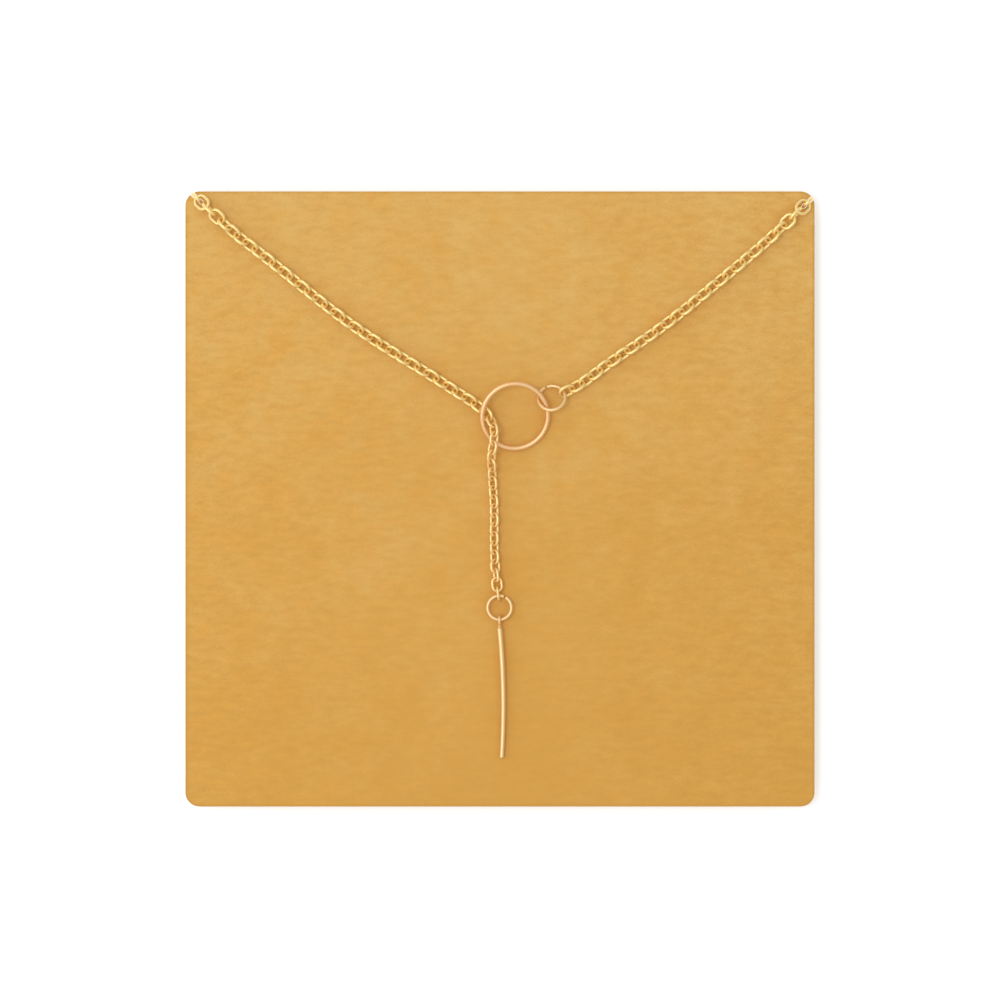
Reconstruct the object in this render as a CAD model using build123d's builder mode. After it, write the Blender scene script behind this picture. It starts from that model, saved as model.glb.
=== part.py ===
"""Open circle lariat necklace on its square display card, lying face up.

Millimetres, +Z up. The origin is on the surface, under the middle of the card. The chain goes
round the card through a notch in each top corner, and its hidden stretch lies under the card.
"""

import os
from math import asin, ceil, cos, degrees, pi, radians, sin, sqrt

from build123d import *

# Clearances
rest_gap = 0.1  # loose metal above what it rests on, or beside what it crosses
link_play = 0.12  # between the hooked ends of two links pulled straight
hook_play = 0.12  # between a ring and the wire that it hooks

# Display card
card_width = 90.0
card_height = 88.0
card_thickness = 0.4
card_corner = 2.0
card_room = 0.38  # space under the card, over one link's width
notch_reach = 0.95  # from the notch's mouth to the middle of the link that stands in it
left_mouth = 122.0  # where each notch opens on the round of its corner, degrees
left_heading = -43.0  # which way each notch and its chain run in from there, degrees
right_mouth = 32.0
right_heading = 223.5

# Cable chain, and the finer one of the drop
link_wire = 0.48
link_width = 2.12
link_straight = 0.58
link_roll = 45.0  # how far a lying link leans over, degrees
fine_wire = 0.4
fine_width = 1.72
fine_straight = 0.56

# Open circle
circle_outer = 10.16
circle_wire = 0.72
circle_x = 2.13
circle_y = 11.84
circle_high = 112.0  # direction of its raised side, degrees
under_at = 169.0  # where the chain passes under it, degrees round from +X

# Jump ring at the end of the right strand
jump_outer = 4.36
jump_wire = 0.5
jump_at = 26.0  # direction from the circle's middle, degrees
jump_tilt = 27.0
jump_high = 282.0  # direction of its raised side, degrees
jump_lift = 0.25  # how far the circle's rim holds it off the card
jump_play = 0.2  # between it and the circle's wire
jump_hook_at = 28.0  # direction of the link that hooks it, degrees
jump_cut_at = 110.0  # how far round its cut is from its level side, degrees
ring_cut = 0.08  # the fine cut that each ring was closed at

# End ring of the drop
end_outer = 3.9
end_wire = 0.5
end_x = -0.09
end_y = -15.55
end_hook_at = 96.0  # direction of the link that hooks it, degrees

# Bar and its soldered eye
bar_length = 18.5
bar_wire = 0.72
bar_bow = 0.37
bar_turn = 0.4  # how far the bar's foot swings to the right of straight down, degrees
bar_edge = 0.06
eye_wire = 0.4
eye_outer = 1.7
neck_length = 0.5

# Sizes that follow
bend = (link_width - link_wire) / 2
tip = link_straight / 2 + bend
taut_pitch = 2 * tip - link_wire - link_play
corner_pitch = taut_pitch - 0.63 * link_play
half_chain = bend * sin(radians(link_roll)) + link_wire / 2
fine_bend = (fine_width - fine_wire) / 2
fine_tip = fine_straight / 2 + fine_bend
fine_pitch = 2 * fine_tip - fine_wire - link_play
fine_half = fine_bend * sin(radians(link_roll)) + fine_wire / 2
card_back = link_width + card_room
card_face = card_back + card_thickness
rest = rest_gap + half_chain
fine_rest = rest_gap + fine_half
circle_radius = (circle_outer - circle_wire) / 2
jump_radius = (jump_outer - jump_wire) / 2
end_radius = (end_outer - end_wire) / 2
eye_radius = (eye_outer - eye_wire) / 2

# Joints beside a notch, from the standing link inwards, as shares of a link's width: how far the
# chain's middle is from the card's front, and from its back
front_rise = (0.218, 0.532, 0.586, 0.499, 0.537)
back_drop = (0.218, 0.531, 0.619, 0.670, 0.739)

# The left strand as seen from above, as shares of half the card
left_points = [
    (-0.767, 0.803),
    (-0.627, 0.689),
    (-0.482, 0.574),
    (-0.237, 0.413),
]

# Under the circle's left side, over its lower left side and down to the card again: across and
# up from the circle's middle, then above resting height, as shares of the circle's radius
under_points = [
    (-2.231, 1.040, 0.0),
    (-1.765, 0.733, 0.0),
    (-1.428, 0.530, 0.007),
    (-1.126, 0.314, -0.007),
]
over_points = [
    (-0.766, -0.045, 0.157),
    (-0.617, -0.548, 0.325),
    (-0.715, -1.199, 0.277),
    (-0.690, -1.681, 0.087),
]

# The drop and the right strand as seen from above, as shares of half the card
drop_points = [
    (-0.023, 0.050),
    (-0.019, -0.010),
]
right_points = [
    (0.784, 0.782),
    (0.672, 0.687),
    (0.471, 0.527),
    (0.322, 0.423),
]

# Where the right strand rises to the jump ring: how far from the last joint, then above the card,
# as shares of a link's width
right_reach = 1.43
right_rise = 0.48

# Where the drop rises to the end ring: across and up from the ring's middle, then above resting
# height, as shares of a link's width
drop_rise = [
    (-0.43, 5.91, 0.03),
    (-0.32, 3.11, 0.09),
    (-0.24, 2.31, 0.18),
]

# The hidden stretch as seen from above, as shares of half the card: its left half, top to middle
hidden_points = [
    (-0.78, 0.62),
    (-0.84, 0.30),
    (-0.86, -0.05),
    (-0.85, -0.42),
    (-0.77, -0.72),
    (-0.59, -0.86),
    (-0.37, -0.83),
    (-0.20, -0.56),
    (0.0, -0.40),
]


def heading(angle):
    """Level direction at an angle round from +X."""
    return Vector(cos(radians(angle)), sin(radians(angle)), 0)


def tilted(middle, tilt, high):
    """Plane of a ring that is raised by tilt degrees towards the direction high."""
    slope = heading(high) * cos(radians(tilt)) + Vector(0, 0, sin(radians(tilt)))
    level = heading(high + 90)
    return Plane(origin=middle, x_dir=level, z_dir=slope.cross(level))


def link_place(start, end, roll):
    """Plane of the link that runs from one joint to the next, leaning by roll degrees."""
    along = (end - start).normalized()
    level = Vector(0, 0, 1).cross(along).normalized()
    side = level.rotate(Axis((0, 0, 0), along), roll)
    return Plane(origin=(start + end) / 2, x_dir=along, z_dir=along.cross(side))


def card_share(points, height):
    """Points at one height, from shares of half the card."""
    return [Vector(x * card_width / 2, y * card_height / 2, height) for x, y in points]


def circle_share(points, height):
    """Points above a height, from shares of the circle's radius round its middle."""
    beside = Vector(circle_x, circle_y, height)
    return [beside + Vector(*point) * circle_radius for point in points]


def links_between(joints, rolls):
    """Planes of the links along a row of joints."""
    return [link_place(*ends) for ends in zip(joints, joints[1:], rolls)]


def notch_joints(upright, inwards, heights):
    """Joints from a notch's standing link inwards, at the heights given."""
    joints = [upright + inwards * (tip - taut_pitch / 2) + Vector(0, 0, heights[0])]
    for before, height in zip(heights, heights[1:]):
        step = sqrt(corner_pitch**2 - (height - before) ** 2)
        joints.append(joints[-1] + inwards * step + Vector(0, 0, height - before))
    return joints


def row_rolls(count, lean, end_lean=0, first=0.0):
    """Roll of each link in a row: a quarter turn a link, and a little more or less near an end."""
    turns = 4
    rolls = [first]
    for step in range(1, count):
        near_start = lean * (step <= turns)
        near_end = end_lean * (step >= count - turns)
        rolls.append(rolls[-1] + 90 + (near_start + near_end) * link_roll / turns)
    return rolls


# The notches and the links that stand in them
arc_x = card_width / 2 - card_corner
arc_y = card_height / 2 - card_corner
left_in = heading(left_heading)
right_in = heading(right_heading)
left_notch = Vector(-arc_x, arc_y) + heading(left_mouth) * card_corner
right_notch = Vector(arc_x, arc_y) + heading(right_mouth) * card_corner
left_upright = left_notch + left_in * notch_reach
right_upright = right_notch + right_in * notch_reach
notch_depth = notch_reach + link_width / 2 + rest_gap
middle_plane = card_back + card_thickness / 2

# Tilt of the circle: its low side rests on the card, and its left side on the chain
rim_low = rest_gap + circle_wire / 2
rim_under = rest_gap + rest + half_chain + circle_wire / 2
circle_rise = (rim_under - rim_low) / (1 + cos(radians(under_at - circle_high)))
circle_tilt = degrees(asin(circle_rise / circle_radius))
circle_middle = Vector(circle_x, circle_y, card_face + rim_low + circle_rise)

# The jump ring hooks the circle, which holds it a little off the card
jump_reach = circle_radius + jump_radius - (circle_wire + jump_wire) / 2 - jump_play
jump_level = card_face + rest_gap + jump_lift + jump_wire / 2 + jump_radius * sin(radians(jump_tilt))
jump_middle = Vector(circle_x, circle_y) + heading(jump_at) * jump_reach
jump_middle = Vector(jump_middle.X, jump_middle.Y, jump_level)
jump_plane = tilted(jump_middle, jump_tilt, jump_high)

# The end ring lies level, held up by the eye of the bar
end_level = card_face + rest_gap + eye_outer / 2
end_middle = Vector(end_x, end_y, end_level)

with BuildPart() as card:
    with BuildSketch(Plane.XY.offset(card_back)):
        RectangleRounded(card_width, card_height, card_corner)
        with Locations(
            Location(left_notch, (0, 0, left_heading)),
            Location(right_notch, (0, 0, right_heading)),
        ):
            SlotOverall(2 * notch_depth, link_wire + 2 * rest_gap, mode=Mode.SUBTRACT)
    extrude(amount=card_thickness)

with BuildPart() as open_circle:
    with Locations(tilted(circle_middle, circle_tilt, circle_high)):
        Torus(circle_radius, circle_wire / 2)

with BuildPart() as jump_ring:
    with Locations(jump_plane * Rotation(0, 0, jump_cut_at)):
        Torus(jump_radius, jump_wire / 2, major_angle=360 - degrees(ring_cut / jump_radius))

with BuildPart() as end_ring:
    with Locations(Plane(origin=end_middle, x_dir=heading(60))):
        Torus(end_radius, end_wire / 2, major_angle=360 - degrees(ring_cut / end_radius))

# One link of each chain, lengthwise along X and flat on XY
with BuildPart() as link:
    with BuildLine():
        near_side = Line((-link_straight / 2, bend), (link_straight / 2, bend))
        RadiusArc(near_side @ 1, (link_straight / 2, -bend), bend)
        far_side = Line((link_straight / 2, -bend), (-link_straight / 2, -bend))
        RadiusArc(far_side @ 1, near_side @ 0, bend)
    with BuildSketch(Plane(origin=near_side @ 0.5, z_dir=(1, 0, 0))):
        Circle(link_wire / 2)
    sweep()
with BuildPart() as fine_link:
    with BuildLine():
        near_side = Line((-fine_straight / 2, fine_bend), (fine_straight / 2, fine_bend))
        RadiusArc(near_side @ 1, (fine_straight / 2, -fine_bend), fine_bend)
        far_side = Line((fine_straight / 2, -fine_bend), (-fine_straight / 2, -fine_bend))
        RadiusArc(far_side @ 1, near_side @ 0, fine_bend)
    with BuildSketch(Plane(origin=near_side @ 0.5, z_dir=(1, 0, 0))):
        Circle(fine_wire / 2)
    sweep()

# Left strand and drop: one smooth line from the left notch over the circle to the end ring
front_heights = [card_face + share * link_width for share in front_rise]
front_heights.append(card_face + rest)
left_joints = notch_joints(left_upright, left_in, front_heights)
end_hook = end_radius - (fine_wire + end_wire) / 2 - hook_play
end_joint = end_middle + heading(end_hook_at) * (end_hook + fine_tip - fine_pitch / 2)
left_way = card_share(left_points, card_face + rest)
left_way += circle_share(under_points, card_face + rest)
drop_way = circle_share(over_points, card_face + fine_rest)
drop_way += card_share(drop_points, card_face + fine_rest)
beside_end = Vector(end_x, end_y, card_face + fine_rest)
drop_way += [beside_end + Vector(*point) * fine_width for point in drop_rise]
with BuildLine() as lariat_line:
    lariat = Spline(left_joints[-1], *left_way, *drop_way, end_joint)
split = lariat.param_at_point(drop_way[0])
left_count = ceil(lariat.length * split / taut_pitch)
left_joints += [lariat @ (split * step / left_count) for step in range(1, left_count + 1)]
left_links = len(left_joints) - 1
left_lean = 1 if left_links % 2 else -1
left_rolls = row_rolls(left_links, left_lean)
drop_length = lariat.length * (1 - split)
drop_links = ceil(drop_length / fine_pitch)
drop_joints = [lariat @ (split + (1 - split) * step / drop_links) for step in range(drop_links + 1)]
drop_rolls = row_rolls(drop_links, 0, 1, left_rolls[-1] + 90)

# Right strand: from the right notch to the far side of the jump ring
right_joints = notch_joints(right_upright, right_in, front_heights)
jump_turn = radians(jump_hook_at - jump_high - 90)
jump_pull = jump_plane.x_dir * cos(jump_turn) + jump_plane.y_dir * sin(jump_turn)
jump_hook = jump_middle + jump_pull * (jump_radius - (link_wire + jump_wire) / 2 - hook_play)
right_end = jump_hook + jump_pull * (tip - taut_pitch / 2)
right_way = card_share(right_points, card_face + rest)
right_lead = right_end + jump_pull * (right_reach * link_width)
right_way.append(Vector(right_lead.X, right_lead.Y, card_face + right_rise * link_width))
with BuildLine() as right_line:
    right_strand = Spline(right_joints[-1], *right_way, right_end)
right_count = ceil(right_strand.length / taut_pitch)
right_joints += [right_strand @ (step / right_count) for step in range(1, right_count + 1)]
right_links = len(right_joints) - 1
right_lean = -1 if right_links % 2 else 1
right_rolls = row_rolls(right_links, right_lean)

# Hidden stretch: from the left notch down, along and up again to the right notch
back_heights = [card_back - share * link_width for share in back_drop]
back_heights.append(half_chain)
back_start = notch_joints(left_upright, left_in, back_heights)
back_end = notch_joints(right_upright, right_in, back_heights)
half_way = card_share(hidden_points, half_chain)
other_half = [Vector(-point.X, point.Y, point.Z) for point in reversed(half_way[:-1])]
half_way.insert(0, back_start[-1] + left_in * link_width)
other_half.append(back_end[-1] + right_in * link_width)
with BuildLine() as hidden_line:
    hidden = Spline(back_start[-1], *half_way, *other_half, back_end[-1])
hidden_count = ceil(hidden.length / taut_pitch)
hidden_joints = [hidden @ (step / hidden_count) for step in range(1, hidden_count)]
back_joints = back_start + hidden_joints + back_end[::-1]
back_links = len(back_joints) - 1
back_rolls = row_rolls(back_links, 1, -1 if back_links % 2 else 1)

upright_places = [
    Plane(upright + Vector(0, 0, middle_plane), x_dir=(0, 0, 1), z_dir=inwards.rotate(Axis.Z, 90))
    for upright, inwards in ((left_upright, left_in), (right_upright, right_in))
]
neck_places = links_between(left_joints, left_rolls)
neck_places += links_between(right_joints, right_rolls)
neck_places += links_between(back_joints, back_rolls)
neck_places += upright_places
drop_places = links_between(drop_joints, drop_rolls)

with BuildPart() as neck_chain:
    with Locations(neck_places):
        add(link.part)

with BuildPart() as drop_chain:
    with Locations(drop_places):
        add(fine_link.part)

# Bar: a bowed wire from the soldered eye down to its cut foot, which rests on the card
eye_middle = end_middle - Vector(0, end_radius + eye_radius - (end_wire + eye_wire) / 2 - hook_play)
bar_down = heading(-90 + bar_turn)
foot_drop = eye_outer / 2 - bar_wire / 2
bar_top = eye_middle + bar_down * (eye_radius + neck_length)
bar_foot = bar_top + bar_down * bar_length - Vector(0, 0, foot_drop)
bar_middle = (bar_top + bar_foot) / 2 + bar_down.rotate(Axis.Z, 90) * bar_bow
with BuildPart() as bar_drop:
    with BuildLine():
        bar_line = ThreePointArc(bar_top, bar_middle, bar_foot)
    with BuildSketch(Plane(origin=bar_top, z_dir=bar_line % 0)):
        Circle(bar_wire / 2)
    sweep()
    foot_face = bar_drop.faces().sort_by(Axis.Y)[0]
    chamfer(foot_face.edges(), bar_edge)
    with BuildSketch(Plane(origin=bar_top, z_dir=bar_line % 0)):
        Circle(bar_wire / 2)
    with BuildSketch(Plane(origin=eye_middle + bar_down * eye_radius, z_dir=bar_down)):
        Circle(eye_wire / 2)
    loft()
    with Locations(Plane(origin=eye_middle, x_dir=bar_down, z_dir=heading(bar_turn))):
        Torus(eye_radius, eye_wire / 2)

pieces = {
    "card": card,
    "open_circle": open_circle,
    "jump_ring": jump_ring,
    "neck_chain": neck_chain,
    "drop_chain": drop_chain,
    "end_ring": end_ring,
    "bar_drop": bar_drop,
}
os.makedirs("parts", exist_ok=True)
for name, piece in pieces.items():
    piece.part.label = name
    export_step(piece.part, f"parts/{name}.step")

loop_length = lariat.length * split + right_strand.length + hidden.length
print("links", len(neck_places), "in the neck chain,", len(drop_places), "in the drop chain")
print("pitch left", lariat.length * split / left_count, "right", right_strand.length / right_count)
print("pitch hidden", hidden.length / hidden_count, "drop", drop_length / drop_links, "of", fine_pitch)
print("loop", loop_length, "circle tilt", circle_tilt)
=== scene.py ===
"""Looks of the open circle lariat on its display card, for Blender 4.5."""

from math import cos, pi, radians, sin

import bmesh
import bpy
import numpy as np
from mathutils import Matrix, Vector


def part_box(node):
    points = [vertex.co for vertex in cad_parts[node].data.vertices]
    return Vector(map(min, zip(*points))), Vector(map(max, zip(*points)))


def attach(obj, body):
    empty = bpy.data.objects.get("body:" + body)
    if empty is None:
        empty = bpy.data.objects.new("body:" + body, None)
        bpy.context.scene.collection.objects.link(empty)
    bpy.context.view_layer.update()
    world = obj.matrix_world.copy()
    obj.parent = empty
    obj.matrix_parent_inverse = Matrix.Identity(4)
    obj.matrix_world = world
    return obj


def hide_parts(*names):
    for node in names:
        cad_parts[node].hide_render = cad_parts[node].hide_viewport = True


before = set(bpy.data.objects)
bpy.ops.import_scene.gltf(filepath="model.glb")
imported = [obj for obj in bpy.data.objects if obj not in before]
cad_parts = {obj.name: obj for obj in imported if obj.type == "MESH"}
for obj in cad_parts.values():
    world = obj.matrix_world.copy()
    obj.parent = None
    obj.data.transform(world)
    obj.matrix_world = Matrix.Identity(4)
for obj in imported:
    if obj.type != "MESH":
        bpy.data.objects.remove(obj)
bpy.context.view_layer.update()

# Sizes, in metres
MM = 0.001

# Chain links: their wire, the radius of their bent ends and their straight sides
LINK_WIRE = 0.48 * MM
LINK_BEND = 0.82 * MM
LINK_STRAIGHT = 0.58 * MM
FINE_WIRE = 0.40 * MM
FINE_BEND = 0.66 * MM
FINE_STRAIGHT = 0.56 * MM
# A link's soldered seam: shares of its straight side, and of its wire's thickness
SEAM_SWELL = 1.035
SEAM_DIP = 0.93
LINK_SEAM = (
    (0.34, 1.0), (0.16, SEAM_SWELL), (0.0, SEAM_DIP), (-0.16, SEAM_SWELL), (-0.34, 1.0),
)

# The circle and the two small rings
CIRCLE_WIRE = 0.72 * MM
RING_WIRE = 0.5 * MM
CUT_END = 0.86  # thickness of a cut end, as a share of its wire
SEAM_AT = 2.2  # where the circle's seam is, in radians round it
SEAM_RIDGE, SEAM_RIDGE_REACH = 0.035, 0.10
SEAM_GROOVE, SEAM_GROOVE_REACH = 0.045, 0.035

# The bar
EYE_WIRE = 0.4 * MM
EYE_OUTER = 1.7 * MM
EYE_SOLDER, EYE_SOLDER_REACH = 0.22, 0.35
NECK_LENGTH = 0.5 * MM
NECK_WAIST = 0.36
NECK_AT_EYE = 0.20
NECK_AT_BAR = 0.40
BAR_TOP_WIRE = 0.80 * MM
BAR_FOOT_WIRE = 0.66 * MM
BAR_BOW = 0.37 * MM
FOOT_EDGE = 0.06 * MM
# The burnished edge of the foot: millimetres back from the end, and share of the wire
FOOT_BURNISH = ((0.03, 0.97), (0.01, 0.90), (0.0, 0.80))

# The card
CARD_ARRIS = 0.05 * MM
CARD_CORNER = 2.0 * MM
# How far in from the card's edge its painted shade reaches
RIM_SHADE_REACH = 0.45 * MM

# How finely wire is divided
LINK_BEND_STATIONS, LINK_SIDES = 12, 14
RING_STATIONS, RING_SIDES = 160, 24
NECK_STATIONS, BAR_STATIONS, BAR_SIDES = 15, 70, 28
EYE_STATIONS, EYE_SIDES = 72, 18

# Tones
STOCK_AMBER = (0.762, 0.377, 0.065, 1)
STOCK_STRAW = (0.724, 0.437, 0.122, 1)
STOCK_SHADE = (0.607, 0.310, 0.055, 1)
STOCK_CORE = (0.66, 0.50, 0.29, 1)
CORE_FLECK = (0.66, 0.47, 0.24, 1)
STOCK_BACK = (0.56, 0.42, 0.24, 1)
BACK_FLECK = (0.60, 0.44, 0.25, 1)
TABLE_TONE = (0.90, 0.90, 0.90, 1)
WHITE = (1, 1, 1, 1)

# The printed face's shares: how far each cloud, and each metre off the middle, moves its tone;
# the depth per metre up and across is painted shade
DRIFT_HUE, BLOTCH_HUE = 1.2, 1.5
HUE_UP, HUE_ACROSS, HUE_EASE = -8.5, -1.2, 0.25
PAINTED_SHADE_UP, DEPTH_MIDDLE, PAINTED_SHADE_ACROSS, DEPTH_EASE = -5.4, 0.43, 2.2, 0.27
# How much the random drift deepens the face, and how much painted shade darkens its rim
DRIFT_DEPTH, RIM_SHADE_DEPTH = 0.55, 0.8
STREAK_GRAIN, SPECK_GRAIN = 0.75, 0.55
WEAR_MIDDLE, WEAR_ASIDE, WEAR_UP = 1.05, 22.0, 9.0

# Table, air and lamp
TABLE_REACH = 3.0
TABLE_GLOW = 0.28
AIR_LOW = 0.74
AIR_CROWN = 0.14
AIR_LEAN = 0.20
AIR_LEAST = 0.1
KEY_PLACE = (-0.28, 0.03, 0.95)
KEY_WIDTH, KEY_HEIGHT, KEY_WATTS = 0.24, 0.26, 1.85

# Camera
PICTURE_WIDTH = 1000
PIXELS_PER_METRE = 6990.0
SENSOR_WIDTH = 36.0  # millimetres
LENS_DISTANCE = 0.9
PICTURE_DROP = 1.0  # pixels that the card's middle is above the picture's
VIEW_END = 20.0


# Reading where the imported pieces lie


def surface_of(node):
    """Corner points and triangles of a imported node, with doubled points joined."""
    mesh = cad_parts[node].data
    mesh.calc_loop_triangles()
    points = np.empty(len(mesh.vertices) * 3)
    mesh.vertices.foreach_get("co", points)
    triangles = np.empty(len(mesh.loop_triangles) * 3, int)
    mesh.loop_triangles.foreach_get("vertices", triangles)
    points = points.reshape(-1, 3)
    nearest = 1e-7
    _, first, joined = np.unique(
        np.round(points / nearest).astype(np.int64),
        axis=0, return_index=True, return_inverse=True,
    )
    return points[first], joined.reshape(-1)[triangles].reshape(-1, 3)


def loose_solids(points, triangles):
    """Number of the solid that each triangle belongs to."""
    label = np.arange(len(points))
    while True:
        lowest = label[triangles].min(axis=1)
        spread = label.copy()
        for corner in range(3):
            np.minimum.at(spread, triangles[:, corner], lowest)
        spread = spread[spread]
        if np.array_equal(spread, label):
            break
        label = spread
    return np.unique(label[triangles[:, 0]], return_inverse=True)[1]


def lies_of(node):
    """Middle, long axis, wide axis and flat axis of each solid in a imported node."""
    points, triangles = surface_of(node)
    solid = loose_solids(points, triangles)
    a, b, c = (points[triangles[:, corner]] for corner in range(3))
    area = np.linalg.norm(np.cross(b - a, c - a), axis=1) / 2
    centre = (a + b + c) / 3
    total = np.bincount(solid, area)
    middle = np.stack([np.bincount(solid, area * centre[:, k]) / total for k in range(3)], 1)
    away = centre - middle[solid]
    spread = np.empty((len(total), 3, 3))
    for row in range(3):
        for column in range(3):
            moment = np.bincount(solid, area * away[:, row] * away[:, column])
            spread[:, row, column] = moment / total
    axes = np.linalg.eigh(spread)[1]
    long_way, wide_way = axes[:, :, 2], axes[:, :, 1]
    return middle, long_way, wide_way, np.cross(long_way, wide_way)


# Making wire


def swept_wire(path, across, up, thickness, sides, closed=True):
    """Points and faces of round wire along a path, given two ways across it at each point."""
    turn = np.linspace(0, 2 * pi, sides, endpoint=False)
    rim = (
        np.cos(turn)[None, :, None] * across[:, None, :]
        + np.sin(turn)[None, :, None] * up[:, None, :]
    )
    points = path[:, None, :] + rim * thickness[:, None, None] / 2
    stations = len(path)
    faces = []
    for station in range(stations if closed else stations - 1):
        here, following = station * sides, (station + 1) % stations * sides
        for side in range(sides):
            beside = (side + 1) % sides
            faces.append((here + side, here + beside, following + beside, following + side))
    if not closed:
        faces.append(tuple(range(sides - 1, -1, -1)))
        faces.append(tuple((stations - 1) * sides + side for side in range(sides)))
    # Faces turn outwards whichever hand the two ways and the path make
    if np.dot(np.cross(across[0], up[0]), path[1] - path[0]) < 0:
        faces = [face[::-1] for face in faces]
    return points.reshape(-1, 3), faces


def link_shape(wire, bend, straight):
    """Points and faces of one link, lengthwise along X and flat on XY, with its seam."""
    path, outwards, thickness = [], [], []
    for end in (0, 1):
        for station in range(LINK_BEND_STATIONS + 1):
            turn = pi / 2 - pi * station / LINK_BEND_STATIONS + pi * end
            path.append(((0.5 - end) * straight + bend * cos(turn), bend * sin(turn), 0))
            outwards.append((cos(turn), sin(turn), 0))
            thickness.append(wire)
        if end == 0:
            for along, share in LINK_SEAM:
                path.append((along * straight, -bend, 0))
                outwards.append((0, -1, 0))
                thickness.append(wire * share)
    path, outwards = np.array(path), np.array(outwards, float)
    up = np.tile([0.0, 0.0, 1.0], (len(path), 1))
    return swept_wire(path, outwards, up, np.array(thickness), LINK_SIDES)


def mesh_piece(name, points, faces, materials, node):
    """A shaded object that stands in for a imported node."""
    mesh = bpy.data.meshes.new(name)
    mesh.from_pydata([tuple(point) for point in points], [], faces)
    mesh.shade_smooth()
    # Cut ends of wire are flat, and are the only faces with more than four corners
    for face in mesh.polygons:
        if len(face.vertices) > 4:
            face.use_smooth = False
    for material in materials:
        mesh.materials.append(material)
    mesh.update()
    piece = bpy.data.objects.new(name, mesh)
    bpy.context.scene.collection.objects.link(piece)
    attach(piece, "root")
    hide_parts(node)
    return piece


def chain_piece(name, node, shape, shape_faces, material):
    """One detailed link laid over each link of a packed chain."""
    points, faces = [], []
    for middle, long_way, wide_way, flat_way in zip(*lies_of(node)):
        start = len(points) * len(shape)
        axes = np.stack([long_way, wide_way, flat_way])
        points.append(middle + shape @ axes)
        faces += [tuple(start + corner for corner in face) for face in shape_faces]
    return mesh_piece(name, np.concatenate(points), faces, [material], node)


def ring_piece(name, node, wire, material):
    """A round ring laid over a packed one, cut where that one is cut."""
    middle, first_way, second_way, flat_way = (part[0] for part in lies_of(node))
    points, _ = surface_of(node)
    away = points - middle
    turn = np.sort(np.arctan2(away @ second_way, away @ first_way))
    steps = np.diff(np.append(turn, turn[0] + 2 * pi))
    widest = int(steps.argmax())
    reach = np.hypot(away @ first_way, away @ second_way)
    radius = (reach.max() + reach.min()) / 2
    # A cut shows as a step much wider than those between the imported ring's own points
    is_cut = steps[widest] > 3 * np.median(steps[steps > 1e-4])
    if is_cut:
        wire_from, wire_to = turn[widest] + steps[widest], turn[widest] + 2 * pi
        angles = np.linspace(wire_from, wire_to, RING_STATIONS)
    else:
        angles = np.linspace(0, 2 * pi, RING_STATIONS, endpoint=False)
    outwards = np.cos(angles)[:, None] * first_way + np.sin(angles)[:, None] * second_way
    up = np.tile(flat_way, (RING_STATIONS, 1))
    thickness = np.full(RING_STATIONS, wire)
    if is_cut:
        thickness[[0, -1]] *= CUT_END
    else:
        # The soldered seam stands a hair proud of the wire each side of a fine groove
        seam = np.abs((angles - SEAM_AT + pi) % (2 * pi) - pi)
        ridge = SEAM_RIDGE * np.exp(-((seam / SEAM_RIDGE_REACH) ** 2))
        groove = SEAM_GROOVE * np.exp(-((seam / SEAM_GROOVE_REACH) ** 2))
        thickness *= 1 + ridge - groove
    path = middle + radius * outwards
    shape, faces = swept_wire(path, outwards, up, thickness, RING_SIDES, not is_cut)
    return mesh_piece(name, shape, faces, [material], node)


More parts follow.
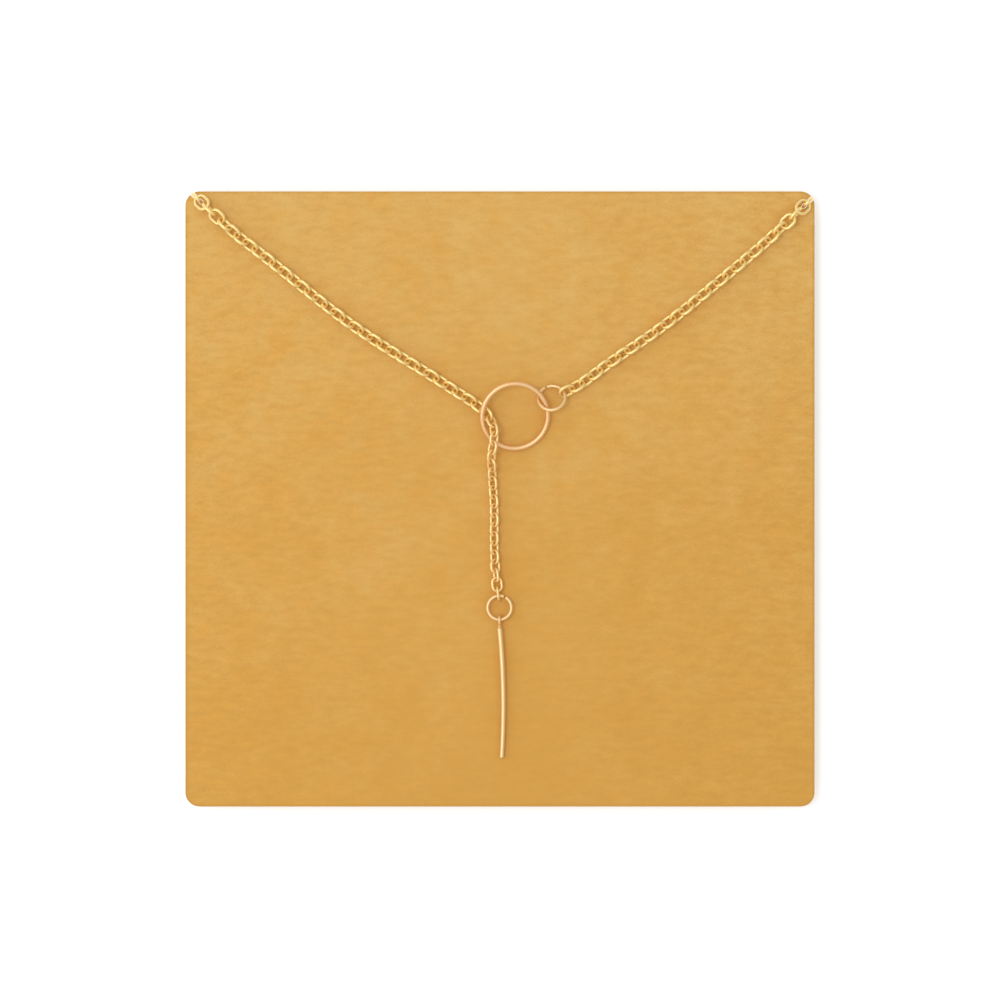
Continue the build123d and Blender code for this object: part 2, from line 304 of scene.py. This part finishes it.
def bar_piece(material):
    """The slim bar: soldered eye, waisted neck, tapering bowed wire and its cut foot."""
    low, high = (np.array(corner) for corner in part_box("bar_drop"))
    points, _ = surface_of("bar_drop")
    foot_points = points[points[:, 1] < low[1] + 0.01 * MM]
    foot = (foot_points.min(axis=0) + foot_points.max(axis=0)) / 2
    eye_points = points[points[:, 1] > high[1] - 0.3 * MM]
    eye_x = (eye_points[:, 0].min() + eye_points[:, 0].max()) / 2
    eye = np.array([eye_x, high[1] - EYE_OUTER / 2, (low[2] + high[2]) / 2])
    eye_radius = (EYE_OUTER - EYE_WIRE) / 2
    down = np.array([foot[0] - eye[0], foot[1] - eye[1], 0.0])
    down /= np.linalg.norm(down)
    aside = np.array([-down[1], down[0], 0.0])
    if aside[0] < 0:
        aside = -aside
    neck_start = eye + down * eye_radius
    top = eye + down * (eye_radius + NECK_LENGTH)

    path, thickness = [], []
    for share in np.linspace(0, 1, NECK_STATIONS)[:-1]:
        waist = NECK_WAIST + NECK_AT_EYE * (1 - share) ** 5 + NECK_AT_BAR * share**2.2
        path.append(neck_start + (top - neck_start) * share)
        thickness.append(waist * MM)
    for share in np.linspace(0, 1, BAR_STATIONS):
        bow = 4 * share * (1 - share) * BAR_BOW
        path.append(top + (foot - top) * share + aside * bow)
        thickness.append(BAR_TOP_WIRE + (BAR_FOOT_WIRE - BAR_TOP_WIRE) * share)
    # The cut foot: a tiny burnished edge round a flat end
    end_way = path[-1] - path[-2]
    end_way /= np.linalg.norm(end_way)
    path[-1] = path[-1] - end_way * FOOT_EDGE
    for back, share in FOOT_BURNISH:
        path.append(foot - end_way * back * MM)
        thickness.append(BAR_FOOT_WIRE * share)
    path, thickness = np.array(path), np.array(thickness)
    along = np.gradient(path, axis=0)
    along /= np.linalg.norm(along, axis=1)[:, None]
    up = np.tile([0.0, 0.0, 1.0], (len(path), 1))
    across = np.cross(up, along)
    across /= np.linalg.norm(across, axis=1)[:, None]
    up = np.cross(along, across)
    shape, faces = swept_wire(path, across, up, thickness, BAR_SIDES, closed=False)

    angles = np.linspace(0, 2 * pi, EYE_STATIONS, endpoint=False)
    level_up = np.array([0.0, 0.0, 1.0])
    outwards = np.cos(angles)[:, None] * down + np.sin(angles)[:, None] * level_up
    flat = np.tile(np.cross(down, level_up), (EYE_STATIONS, 1))
    # Solder thickens the eye where the neck meets it
    joint = np.abs((angles + pi) % (2 * pi) - pi)
    solder = EYE_SOLDER * np.exp(-((joint / EYE_SOLDER_REACH) ** 2))
    eye_thickness = EYE_WIRE * (1 + solder)
    eye_path = eye + eye_radius * outwards
    eye_shape, eye_faces = swept_wire(eye_path, outwards, flat, eye_thickness, EYE_SIDES)
    faces += [tuple(len(shape) + corner for corner in face) for face in eye_faces]
    shape = np.concatenate([shape, eye_shape])
    return mesh_piece("bar_and_eye", shape, faces, [material], "bar_drop")


def card_piece(materials):
    """The card with its notches: printed face, bare cut edge with soft arrises, plain back."""
    points, triangles = surface_of("card")
    build = bmesh.new()
    corners = [build.verts.new(point) for point in points]
    for triangle in triangles:
        build.faces.new([corners[corner] for corner in triangle])
    bmesh.ops.recalc_face_normals(build, faces=build.faces)
    bmesh.ops.dissolve_limit(
        build, angle_limit=radians(0.5), verts=build.verts, edges=build.edges,
        use_dissolve_boundaries=False,
    )
    # The rims are where the flat faces meet the cut edge
    rims = []
    for edge in build.edges:
        if len(edge.link_faces) == 2:
            one, other = (abs(face.normal.z) for face in edge.link_faces)
            if abs(one - other) > 0.5:
                rims.append(edge)
    bmesh.ops.bevel(
        build, geom=rims, offset=CARD_ARRIS, segments=3, profile=0.6, affect="EDGES",
        clamp_overlap=True,
    )
    build.normal_update()
    printed, cut, plain = range(3)
    for face in build.faces:
        face.smooth = abs(face.normal.z) < 0.999
        if face.normal.z > 0.5:
            face.material_index = printed
        elif face.normal.z < -0.5:
            face.material_index = plain
        else:
            face.material_index = cut
    mesh = bpy.data.meshes.new("card_sheet")
    build.to_mesh(mesh)
    build.free()
    for material in materials:
        mesh.materials.append(material)
    sheet = bpy.data.objects.new("card_sheet", mesh)
    bpy.context.scene.collection.objects.link(sheet)
    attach(sheet, "root")
    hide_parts("card")
    return sheet


# Finishes


def node_group(name, inputs, outputs):
    """An empty shader group with its sockets, and its two ends."""
    group = bpy.data.node_groups.new(name, "ShaderNodeTree")
    for socket, kind, value in inputs:
        made = group.interface.new_socket(socket, in_out="INPUT", socket_type=kind)
        made.default_value = value
    for socket, kind in outputs:
        group.interface.new_socket(socket, in_out="OUTPUT", socket_type=kind)
    return group, group.nodes.new("NodeGroupInput"), group.nodes.new("NodeGroupOutput")


def noise(tree, vector, scale, detail, roughness=0.5, distortion=0.0):
    """A noise texture on the piece's own coordinates."""
    texture = tree.nodes.new("ShaderNodeTexNoise")
    tree.links.new(vector, texture.inputs["Vector"])
    texture.inputs["Detail"].default_value = detail
    texture.inputs["Roughness"].default_value = roughness
    texture.inputs["Distortion"].default_value = distortion
    if isinstance(scale, (int, float)):
        texture.inputs["Scale"].default_value = scale
    else:
        tree.links.new(scale, texture.inputs["Scale"])
    return texture.outputs["Fac"]


def maths(tree, operation, first, second=None, third=None, clamp=False):
    """One Math node on sockets or numbers."""
    node = tree.nodes.new("ShaderNodeMath")
    node.operation = operation
    node.use_clamp = clamp
    for socket, value in zip(node.inputs, (first, second, third)):
        if value is None:
            continue
        if isinstance(value, (int, float)):
            socket.default_value = value
        else:
            tree.links.new(value, socket)
    return node.outputs[0]


def blended(tree, share, first, second):
    """Two colours mixed by a share."""
    node = tree.nodes.new("ShaderNodeMix")
    node.data_type = "RGBA"
    colour_sockets = (node.inputs[0], share), (node.inputs[6], first), (node.inputs[7], second)
    for socket, value in colour_sockets:
        if isinstance(value, tuple):
            socket.default_value = value
        else:
            tree.links.new(value, socket)
    return node.outputs[2]


def stretched(tree, vector, scale):
    """The same coordinates, drawn out along one way."""
    mapping = tree.nodes.new("ShaderNodeMapping")
    mapping.inputs["Scale"].default_value = scale
    tree.links.new(vector, mapping.inputs["Vector"])
    return mapping.outputs["Vector"]


def plated_wire_group():
    """Drawn and tumbled plated wire: soft tone changes, fine hairlines and tiny dents."""
    group, given, out = node_group(
        "plated_wire",
        [("Bright", "NodeSocketColor", WHITE), ("Deep", "NodeSocketColor", (0.5, 0.5, 0.5, 1)),
         ("Polish", "NodeSocketFloat", 0.2)],
        [("Colour", "NodeSocketColor"), ("Roughness", "NodeSocketFloat"),
         ("Height", "NodeSocketFloat")],
    )
    where = group.nodes.new("ShaderNodeTexCoord").outputs["Object"]
    cloud = noise(group, where, scale=420, detail=3)
    fine = noise(group, where, scale=5200, detail=4, roughness=0.6)
    share = maths(group, "MULTIPLY_ADD", cloud, 1.8, -0.45, clamp=True)
    colour = blended(group, share, given.outputs["Deep"], given.outputs["Bright"])
    # Hairlines spread the roughness evenly either side of the given polish
    hairline = 0.12
    rough = maths(group, "MULTIPLY_ADD", fine, hairline, given.outputs["Polish"])
    rough = maths(group, "SUBTRACT", rough, hairline / 2)
    group.links.new(colour, out.inputs["Colour"])
    group.links.new(rough, out.inputs["Roughness"])
    dents = maths(group, "MULTIPLY_ADD", cloud, 0.7, fine)
    group.links.new(dents, out.inputs["Height"])
    return group


def card_fibre_group():
    """Paper fibre: a fine tooth that mixes with short fibres lying across the sheet."""
    group, given, out = node_group(
        "card_fibre", [("Scale", "NodeSocketFloat", 3000.0)], [("Height", "NodeSocketFloat")]
    )
    where = group.nodes.new("ShaderNodeTexCoord").outputs["Object"]
    scale = given.outputs["Scale"]
    tooth = noise(group, where, scale, detail=3, roughness=0.6)
    lying = stretched(group, where, (0.3, 1.0, 1.0))
    fibres = noise(group, lying, scale, detail=2, distortion=0.4)
    group.links.new(maths(group, "MULTIPLY_ADD", fibres, 0.6, tooth), out.inputs["Height"])
    return group


def plain_material(name, roughness, specular=0.5, metallic=0.0):
    """A new material with its own shader's fixed values set."""
    material = bpy.data.materials.new(name)
    material.use_nodes = True
    surface = material.node_tree.nodes["Principled BSDF"]
    surface.inputs["Roughness"].default_value = roughness
    surface.inputs["Specular IOR Level"].default_value = specular
    surface.inputs["Metallic"].default_value = metallic
    return material, material.node_tree, surface


def placed(tree, group, **values):
    """A shader group set in a material with its own values."""
    node = tree.nodes.new("ShaderNodeGroup")
    node.node_tree = group
    for socket, value in values.items():
        node.inputs[socket].default_value = value
    return node


def bumped(tree, surface, height, strength, depth):
    """Fine relief on a shader."""
    bump = tree.nodes.new("ShaderNodeBump")
    bump.inputs["Strength"].default_value = strength
    bump.inputs["Distance"].default_value = depth
    tree.links.new(height, bump.inputs["Height"])
    tree.links.new(bump.outputs["Normal"], surface.inputs["Normal"])


def plated_metal(name, bright, deep, polish, dent):
    """A polished plated metal."""
    material, tree, surface = plain_material(name, polish, metallic=1.0)
    wire = placed(tree, PLATED_WIRE, Bright=(*bright, 1), Deep=(*deep, 1), Polish=polish)
    tree.links.new(wire.outputs["Colour"], surface.inputs["Base Color"])
    tree.links.new(wire.outputs["Roughness"], surface.inputs["Roughness"])
    bumped(tree, surface, wire.outputs["Height"], dent, depth=0.02 * MM)
    return material


def rim_shade_of_card(tree, place):
    """Mask of the painted shade at the card's edge: one at the sheet's outline, fading to
    nothing a little way in.
    """
    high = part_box("card")[1]
    reach_x = maths(tree, "ABSOLUTE", place.outputs["X"])
    reach_y = maths(tree, "ABSOLUTE", place.outputs["Y"])
    over_x = maths(tree, "SUBTRACT", reach_x, high.x - CARD_CORNER)
    over_y = maths(tree, "SUBTRACT", reach_y, high.y - CARD_CORNER)
    out_x = maths(tree, "MAXIMUM", over_x, 0.0)
    out_y = maths(tree, "MAXIMUM", over_y, 0.0)
    out_x = maths(tree, "MULTIPLY", out_x, out_x)
    out = maths(tree, "SQRT", maths(tree, "MULTIPLY_ADD", out_y, out_y, out_x))
    inside = maths(tree, "SUBTRACT", CARD_CORNER, out)
    return maths(tree, "MULTIPLY_ADD", inside, -1 / RIM_SHADE_REACH, 1.0, clamp=True)


def printed_face():
    """Gold-tan print: cloudy amber and straw mottling, faint level grain, with painted shade
    deepening the rim and the foot.
    """
    material, tree, surface = plain_material("printed_face", 0.6, specular=0.22)
    where = tree.nodes.new("ShaderNodeTexCoord").outputs["Object"]
    place = tree.nodes.new("ShaderNodeSeparateXYZ")
    tree.links.new(where, place.inputs[0])
    across, upwards = place.outputs["X"], place.outputs["Y"]
    drift = noise(tree, where, scale=80, detail=4, roughness=0.6, distortion=0.5)
    blotch_place = stretched(tree, where, (0.8, 1.0, 1.0))
    blotch = noise(tree, blotch_place, scale=290, detail=4, roughness=0.65, distortion=0.3)
    streak_place = stretched(tree, where, (0.4, 1.0, 1.0))
    streak = noise(tree, streak_place, scale=1100, detail=3, roughness=0.6)
    speck = noise(tree, where, scale=4600, detail=2, roughness=0.6)
    # Amber patches against straw ones, with more amber towards the foot
    hue = maths(tree, "MULTIPLY_ADD", drift, DRIFT_HUE, -DRIFT_HUE / 2)
    hue = maths(tree, "MULTIPLY_ADD", blotch, BLOTCH_HUE, hue)
    hue = maths(tree, "MULTIPLY_ADD", upwards, HUE_UP, hue)
    hue = maths(tree, "MULTIPLY_ADD", across, HUE_ACROSS, hue)
    hue = maths(tree, "SUBTRACT", hue, HUE_EASE, clamp=True)
    tone = blended(tree, hue, STOCK_STRAW, STOCK_AMBER)
    # Painted shade: the face is lightest at the upper left, where the light comes from, and
    # deepest along the foot
    depth = maths(tree, "MULTIPLY_ADD", upwards, PAINTED_SHADE_UP, DEPTH_MIDDLE)
    depth = maths(tree, "MULTIPLY_ADD", across, PAINTED_SHADE_ACROSS, depth)
    depth = maths(tree, "MULTIPLY_ADD", drift, DRIFT_DEPTH, depth)
    # Its grain shows most along the sides and the top
    grain = maths(tree, "MULTIPLY_ADD", streak, STREAK_GRAIN, -STREAK_GRAIN / 2)
    grain = maths(tree, "MULTIPLY_ADD", speck, SPECK_GRAIN, grain)
    grain = maths(tree, "SUBTRACT", grain, SPECK_GRAIN / 2)
    aside = maths(tree, "ABSOLUTE", across)
    wear = maths(tree, "MULTIPLY_ADD", aside, WEAR_ASIDE, WEAR_MIDDLE)
    wear = maths(tree, "MULTIPLY_ADD", upwards, WEAR_UP, wear)
    depth = maths(tree, "MULTIPLY_ADD", grain, wear, depth)
    depth = maths(tree, "SUBTRACT", depth, DEPTH_EASE)
    # Painted shade along the card's rounded edge
    rim = rim_shade_of_card(tree, place)
    depth = maths(tree, "MULTIPLY_ADD", rim, RIM_SHADE_DEPTH, depth, clamp=True)
    tree.links.new(blended(tree, depth, tone, STOCK_SHADE), surface.inputs["Base Color"])
    fibre = placed(tree, CARD_FIBRE, Scale=2400.0)
    bumped(tree, surface, fibre.outputs["Height"], strength=0.10, depth=0.03 * MM)
    return material


def bare_stock(name, colour, fleck_colour, relief):
    """Unprinted card stock, on the cut edge or the back."""
    material, tree, surface = plain_material(name, 0.85, specular=0.15)
    where = tree.nodes.new("ShaderNodeTexCoord").outputs["Object"]
    cloud = noise(tree, where, scale=240, detail=4, roughness=0.6)
    fleck_place = stretched(tree, where, (0.4, 1.0, 1.0))
    fleck = noise(tree, fleck_place, scale=2200, detail=3, roughness=0.6)
    share = maths(tree, "MULTIPLY_ADD", cloud, 1.2, -0.4)
    share = maths(tree, "MULTIPLY_ADD", fleck, 0.9, share)
    share = maths(tree, "SUBTRACT", share, 0.25, clamp=True)
    tone = blended(tree, share, fleck_colour, colour)
    tree.links.new(tone, surface.inputs["Base Color"])
    fibre = placed(tree, CARD_FIBRE, Scale=1800.0)
    bumped(tree, surface, fibre.outputs["Height"], relief, depth=0.04 * MM)
    return material


PLATED_WIRE = plated_wire_group()
CARD_FIBRE = card_fibre_group()
chain_gold = plated_metal(
    "chain_gold_plate", bright=(1.0, 0.79, 0.37), deep=(0.98, 0.74, 0.29), polish=0.42, dent=0.1
)
drop_gold = plated_metal(
    "drop_gold_plate", bright=(1.0, 0.76, 0.38), deep=(0.98, 0.71, 0.31), polish=0.46, dent=0.1
)
pale_gold = plated_metal(
    "pale_gold_plate", bright=(0.92, 0.67, 0.36), deep=(0.89, 0.63, 0.31), polish=0.48, dent=0.08
)
rosy_gold = plated_metal(
    "rosy_gold_plate", bright=(0.95, 0.63, 0.33), deep=(0.90, 0.57, 0.27), polish=0.46, dent=0.12
)

# The pieces

link, link_faces = link_shape(LINK_WIRE, LINK_BEND, LINK_STRAIGHT)
fine_link, fine_faces = link_shape(FINE_WIRE, FINE_BEND, FINE_STRAIGHT)
chain_piece("neck_chain_links", "neck_chain", link, link_faces, chain_gold)
chain_piece("drop_chain_links", "drop_chain", fine_link, fine_faces, drop_gold)
ring_piece("open_circle_wire", "open_circle", CIRCLE_WIRE, rosy_gold)
ring_piece("jump_ring_wire", "jump_ring", RING_WIRE, pale_gold)
ring_piece("end_ring_wire", "end_ring", RING_WIRE, pale_gold)
bar_piece(pale_gold)
card_piece([
    printed_face(),
    bare_stock("cut_edge", STOCK_CORE, CORE_FLECK, relief=0.3),
    bare_stock("plain_back", STOCK_BACK, BACK_FLECK, relief=0.2),
])

# Floor, light and camera


def floor_piece():
    """A plain pale floor under the card, like a lit studio table."""
    reach = TABLE_REACH
    mesh = bpy.data.meshes.new("floor")
    corners = [(-reach, -reach, 0), (reach, -reach, 0), (reach, reach, 0), (-reach, reach, 0)]
    mesh.from_pydata(corners, [], [(0, 1, 2, 3)])
    material, _, surface = plain_material("lit_table", 0.9, specular=0.1)
    surface.inputs["Base Color"].default_value = TABLE_TONE
    surface.inputs["Emission Color"].default_value = WHITE
    surface.inputs["Emission Strength"].default_value = TABLE_GLOW
    mesh.materials.append(material)
    floor = bpy.data.objects.new("floor", mesh)
    bpy.context.scene.collection.objects.link(floor)


def soft_box():
    """A white studio soft box, high on the left, that faces the card."""
    light = bpy.data.lights.new("key_left", "AREA")
    light.shape = "RECTANGLE"
    light.size, light.size_y = KEY_WIDTH, KEY_HEIGHT
    light.energy = KEY_WATTS
    lamp = bpy.data.objects.new("key_left", light)
    lamp.location = KEY_PLACE
    lamp.rotation_euler = (-Vector(KEY_PLACE)).to_track_quat("-Z", "Y").to_euler()
    bpy.context.scene.collection.objects.link(lamp)


def studio_air():
    """White surroundings: brightest overhead and a little brighter to the left."""
    world = bpy.data.worlds.new("studio_air")
    bpy.context.scene.world = world
    world.use_nodes = True
    tree = world.node_tree
    background = tree.nodes["Background"]
    where = tree.nodes.new("ShaderNodeTexCoord").outputs["Generated"]
    place = tree.nodes.new("ShaderNodeSeparateXYZ")
    tree.links.new(where, place.inputs[0])
    crown = maths(tree, "MAXIMUM", place.outputs["Z"], 0.0)
    light = maths(tree, "MULTIPLY_ADD", crown, AIR_CROWN, AIR_LOW)
    light = maths(tree, "MULTIPLY_ADD", place.outputs["X"], -AIR_LEAN, light)
    light = maths(tree, "MAXIMUM", light, AIR_LEAST)
    background.inputs["Color"].default_value = WHITE
    tree.links.new(light, background.inputs["Strength"])


def overhead_camera():
    """A long lens straight above the card, framed as the photograph is."""
    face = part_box("card")[1].z
    camera = bpy.data.cameras.new("overhead")
    camera.sensor_width = SENSOR_WIDTH
    camera.lens = SENSOR_WIDTH * LENS_DISTANCE * PIXELS_PER_METRE / PICTURE_WIDTH
    camera.clip_end = VIEW_END
    view = bpy.data.objects.new("overhead", camera)
    view.location = (0, -PICTURE_DROP / PIXELS_PER_METRE, face + LENS_DISTANCE)
    bpy.context.scene.collection.objects.link(view)
    bpy.context.scene.camera = view


floor_piece()
studio_air()
soft_box()
overhead_camera()
bpy.context.scene.view_settings.view_transform = "Standard"
